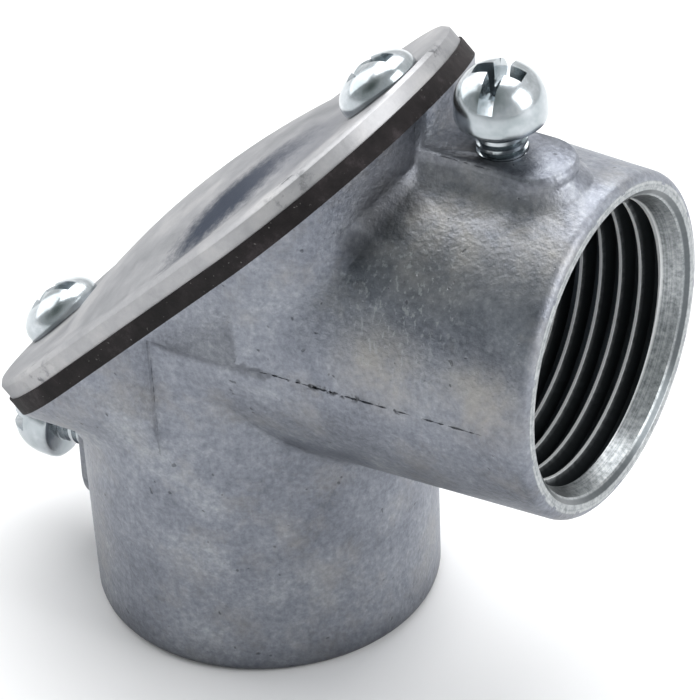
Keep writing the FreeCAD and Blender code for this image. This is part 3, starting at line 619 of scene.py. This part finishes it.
def tapered_bar(length, width, top, bottom, foot):
    """A bar along X that narrows downwards to `foot` of its length, and by less of its width."""
    middle = (top + bottom) / 2
    bar = bmesh.new()
    bmesh.ops.create_cube(bar, size=1)
    bmesh.ops.scale(bar, vec=(length, width, top - bottom), verts=bar.verts)
    bmesh.ops.translate(bar, vec=(0, 0, middle), verts=bar.verts)
    lower_corners = [corner for corner in bar.verts if corner.co.z < middle]
    bmesh.ops.scale(bar, vec=(foot, 0.2 + 0.8 * foot, 1), verts=lower_corners)
    return bar


def plated_screw(name, place, radius, height, rim, edge, fullness, length, slot_depth, recess_depth):
    """One screw, from its blank to its place on the part: the thread, the slot and the cross are cut."""
    screw = piece_from(screw_blank(radius, height, rim, edge, fullness, length), name + "_plated")
    over = 0.0003
    profile = [(SHANK_RADIUS + over, -GROOVE_HALF_MOUTH), (SHANK_CORE, -GROOVE_HALF_ROOT),
               (SHANK_CORE, GROOVE_HALF_ROOT), (SHANK_RADIUS + over, GROOVE_HALF_MOUTH)]
    groove = wound(profile, SCREW_PITCH, (length + BELOW_TIP - BELOW_HEAD) / SCREW_PITCH, SCREW_STEPS)
    bmesh.ops.translate(groove, vec=(0, 0, -length - BELOW_TIP), verts=groove.verts)
    slot = tapered_bar(2.4 * radius, SLOT_WIDTH, height + over, height - slot_depth, 1)
    wing = tapered_bar(RECESS_SPAN, WING_WIDTH, height + over, height - recess_depth, RECESS_FOOT)
    cross_wing = tapered_bar(RECESS_SPAN, WING_WIDTH, height + over, height - recess_depth, RECESS_FOOT)
    bmesh.ops.rotate(cross_wing, cent=(0, 0, 0), matrix=Matrix.Rotation(math.pi / 2, 3, "Z"),
                     verts=cross_wing.verts)
    cut_away(screw, *[piece_from(shape, "cutter") for shape in (groove, slot, wing, cross_wing)])
    screw.data.transform(place)
    screw.data.materials.clear()
    screw.data.materials.append(zinc_plate)
    smooth(screw, 35)
    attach(screw, name)
    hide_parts(name)


to_mitre = Matrix.Rotation(math.radians(-45), 4, "Y")
for name, reach in (("upper_cover_screw", COVER_SCREW_REACH), ("lower_cover_screw", -COVER_SCREW_REACH)):
    on_cover = Matrix.Translation((reach, 0, FLANGE_LIFT + COVER_TOP))
    plated_screw(name, Matrix.Translation(CROSSING) @ to_mitre @ on_cover, radius=0.00362, height=0.0027,
                 rim=0.0005, edge=0.00015, fullness=2, length=0.00635, slot_depth=0.0010, recess_depth=0.0016)
for name, seat, turn_out in (
        ("side_hub_set_screw", Vector((SET_SCREW_REACH, 0, SET_SCREW_SEAT)), Matrix()),
        ("lower_hub_set_screw", Vector((-SET_SCREW_SEAT, 0, -SET_SCREW_REACH)),
         Matrix.Rotation(math.radians(-90), 4, "Y"))):
    turned_in = turn_out @ Matrix.Rotation(SET_SCREW_TURN, 4, "Z")
    plated_screw(name, Matrix.Translation(CROSSING + seat) @ turned_in, radius=0.00377, height=0.0047,
                 rim=0.0011, edge=0.0005, fullness=2.3, length=0.0075, slot_depth=0.0022,
                 recess_depth=0.0031)

# The floor and the light: a pale floor, a soft lamp to the left, to the right and above, and a pale room that
# is darker in front, high up and left of the camera, which gives the plated screws their dark side.
pale_floor = new_material("pale matt floor")
finish_material(pale_floor, Base_Color=colour("#f2f2f2"), Roughness=0.9, Specular_IOR_Level=0.1)
floor_shape = bmesh.new()
bmesh.ops.create_grid(floor_shape, x_segments=1, y_segments=1, size=1.5)
floor = piece_from(floor_shape, "floor")
floor.data.materials.append(pale_floor)


def soft_lamp(name, place, width, height, power):
    """A broad lamp that faces the part."""
    lamp = bpy.data.lights.new(name, "AREA")
    lamp.shape = "RECTANGLE"
    lamp.size, lamp.size_y = width, height
    lamp.energy = power
    holder = bpy.data.objects.new(name, lamp)
    holder.location = place
    holder.rotation_euler = (Vector(place) - AIM).to_track_quat("Z", "Y").to_euler()
    scene.collection.objects.link(holder)


soft_lamp("left_lamp", (-0.62, 0.04, 0.34), 0.50, 0.60, 1.8)
soft_lamp("right_lamp", (0.62, 0.10, 0.40), 0.42, 0.60, 3.2)
soft_lamp("top_lamp", (-0.15, 0.34, 0.62), 0.80, 0.65, 5.8)
DARK_WAY = (-0.25, -0.62, 0.74)
room = bpy.data.worlds.new("pale room")
room.use_nodes = True
scene.world = room
sky = room.node_tree.nodes["Background"]
way = add(room, "TexCoord").outputs["Generated"]
toward = add(room, "VectorMath", {"operation": "DOT_PRODUCT"}, i0=way, i1=DARK_WAY)
shade = add(room, "ValToRGB", i0=toward.outputs["Value"],
            stops=((0.0, "#ffffff"), (0.50, "#dcdee0"), (0.84, "#b9bdbd"), (0.99, "#656e6b")))
path = add(room, "LightPath")
mirrored = add(room, "Math", {"operation": "MAXIMUM"}, i0=path.outputs["Is Glossy Ray"],
               i1=path.outputs["Is Transmission Ray"])
looked_at = add(room, "Math", {"operation": "MAXIMUM"}, i0=mirrored.outputs[0],
                i1=path.outputs["Is Camera Ray"])
seen = add(room, "Mix", {"data_type": "RGBA"}, Factor=looked_at.outputs[0], i6=colour("#bfc1c3"),
           i7=shade.outputs[0])
room.node_tree.links.new(seen.outputs[2], sky.inputs["Color"])
sky.inputs["Strength"].default_value = 1.0
